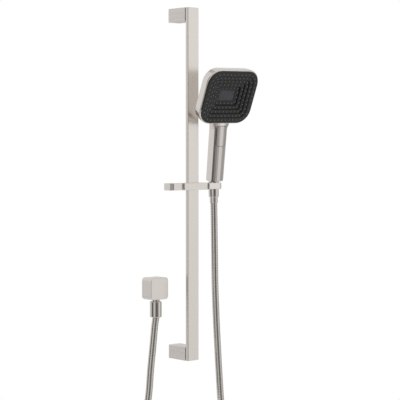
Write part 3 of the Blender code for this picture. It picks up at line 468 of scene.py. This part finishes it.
# The brightness of the studio's panels, by their turn in degrees round Z from its front.
STUDIO_FRONT = math.radians(41)  # from -Y towards -X
STUDIO = (
    (0, 0.31),
    (12, 0.62),
    (27, 0.90),
    (45, 0.46),
    (58, 0.18),
    (70, 0.05),
    (80, 0.14),
    (88, 0.62),
    (98, 0.86),
    (124, 0.86),
    (180, 0.78),
    (220, 0.72),
    (240, 0.48),
    (255, 0.42),
    (266, 0.82),
    (276, 1.02),
    (290, 0.94),
    (302, 0.52),
    (315, 0.38),
    (327, 0.18),
    (344, 0.02),
    (360, 0.31),
)
FULL_TURN = 360

# The spans are in Z of a unit direction, and both changes run evenly over their span.
CEILING = 0.8
CEILING_SPAN = (0.45, 0.85)  # panels below it, ceiling above
DIMMING_SPAN = (-0.25, 0.02)
DIMMING = (0.78, 1.0)  # below the span, and above it

FLOOR_DROP = 12 * MM
FLOOR_RADIUS = 1.1
FLOOR_SIDES = 96
FLOOR_WHITE = (0.96, 0.96, 0.96)

KEY_PLACE = (-1.2, -1.6, 1.4)
KEY_AIM = (0, -0.05, -0.2)
KEY_SIZE = 1.2
KEY_POWER = 14


def make_world():
    """White to the camera; to the object, a studio of light and dark panels all round."""
    world = bpy.data.worlds.new("studio")
    bpy.context.scene.world = world
    world.use_nodes = True
    nodes = world.node_tree.nodes
    links = world.node_tree.links

    def between(source, low, high, first=0.0, last=1.0):
        ranged = nodes.new("ShaderNodeMapRange")
        settings = {"From Min": low, "From Max": high, "To Min": first, "To Max": last}
        for name, value in settings.items():
            ranged.inputs[name].default_value = value
        links.new(source, ranged.inputs["Value"])
        return ranged.outputs["Result"]

    def mixed(under, colour, share):
        mix = nodes.new("ShaderNodeMix")
        mix.data_type = "RGBA"
        links.new(share, mix.inputs["Factor"])
        links.new(under, mix.inputs["A"])
        mix.inputs["B"].default_value = (*colour, 1)
        return mix.outputs["Result"]

    place = nodes.new("ShaderNodeTexCoord")
    turned = nodes.new("ShaderNodeVectorRotate")
    turned.rotation_type = "Z_AXIS"
    turned.inputs["Angle"].default_value = STUDIO_FRONT
    links.new(place.outputs["Generated"], turned.inputs["Vector"])
    split = nodes.new("ShaderNodeSeparateXYZ")
    links.new(turned.outputs["Vector"], split.inputs["Vector"])
    height = split.outputs["Z"]

    angle = nodes.new("ShaderNodeMath")
    angle.operation = "ARCTAN2"
    links.new(split.outputs["X"], angle.inputs[0])
    links.new(split.outputs["Y"], angle.inputs[1])
    panels = nodes.new("ShaderNodeValToRGB")
    links.new(between(angle.outputs[0], -math.pi, math.pi), panels.inputs["Fac"])
    elements = panels.color_ramp.elements
    elements.remove(elements[1])
    for i, (degrees, level) in enumerate(STUDIO):
        share = degrees / FULL_TURN
        element = elements[0] if i == 0 else elements.new(share)
        element.position = share
        element.color = (level, level, level, 1)

    lit = mixed(panels.outputs["Color"], (CEILING,) * 3, between(height, *CEILING_SPAN))
    dimmed = nodes.new("ShaderNodeVectorMath")
    dimmed.operation = "SCALE"
    links.new(lit, dimmed.inputs["Vector"])
    links.new(between(height, *DIMMING_SPAN, *DIMMING), dimmed.inputs["Scale"])
    rays = nodes.new("ShaderNodeLightPath")
    shown = mixed(dimmed.outputs["Vector"], (1, 1, 1), rays.outputs["Is Camera Ray"])
    links.new(shown, nodes["Background"].inputs["Color"])


def make_floor():
    """A round pale floor below the hose's lowest point."""
    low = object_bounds()[0][2] - FLOOR_DROP
    bm = bmesh.new()
    bmesh.ops.create_circle(bm, cap_ends=True, radius=FLOOR_RADIUS, segments=FLOOR_SIDES)
    bmesh.ops.translate(bm, vec=(0, 0, low), verts=bm.verts)
    mesh = bpy.data.meshes.new("floor")
    bm.to_mesh(mesh)
    bm.free()
    mesh.materials.append(moulded("floor_white", FLOOR_WHITE, 0.7, contrast=0.01))
    link(bpy.data.objects.new("floor", mesh))


def make_key_light():
    """A soft square lamp over the front left, which metal doesn't mirror."""
    light = bpy.data.lights.new("key", "AREA")
    light.shape = "SQUARE"
    light.size = KEY_SIZE
    light.energy = KEY_POWER
    made = link(bpy.data.objects.new("key", light))
    made.location = KEY_PLACE
    made.rotation_euler = facing(Vector(KEY_AIM) - Vector(KEY_PLACE))
    made.visible_camera = False
    made.visible_glossy = False


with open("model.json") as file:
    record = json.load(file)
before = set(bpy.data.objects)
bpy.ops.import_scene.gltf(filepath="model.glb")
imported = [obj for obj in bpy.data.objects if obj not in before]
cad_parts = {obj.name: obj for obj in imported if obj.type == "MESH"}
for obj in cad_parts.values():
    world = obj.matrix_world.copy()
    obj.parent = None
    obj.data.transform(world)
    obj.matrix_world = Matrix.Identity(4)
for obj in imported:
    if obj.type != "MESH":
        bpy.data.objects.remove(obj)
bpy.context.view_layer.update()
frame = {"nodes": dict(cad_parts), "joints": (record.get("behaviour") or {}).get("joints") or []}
bpy.context.scene.view_settings.view_transform = "Standard"
make_camera()
materials = make_materials()
make_hose()
finish_nodes(frame, materials)
make_button_gap_shade(frame, materials)
make_world()
make_floor()
make_key_light()
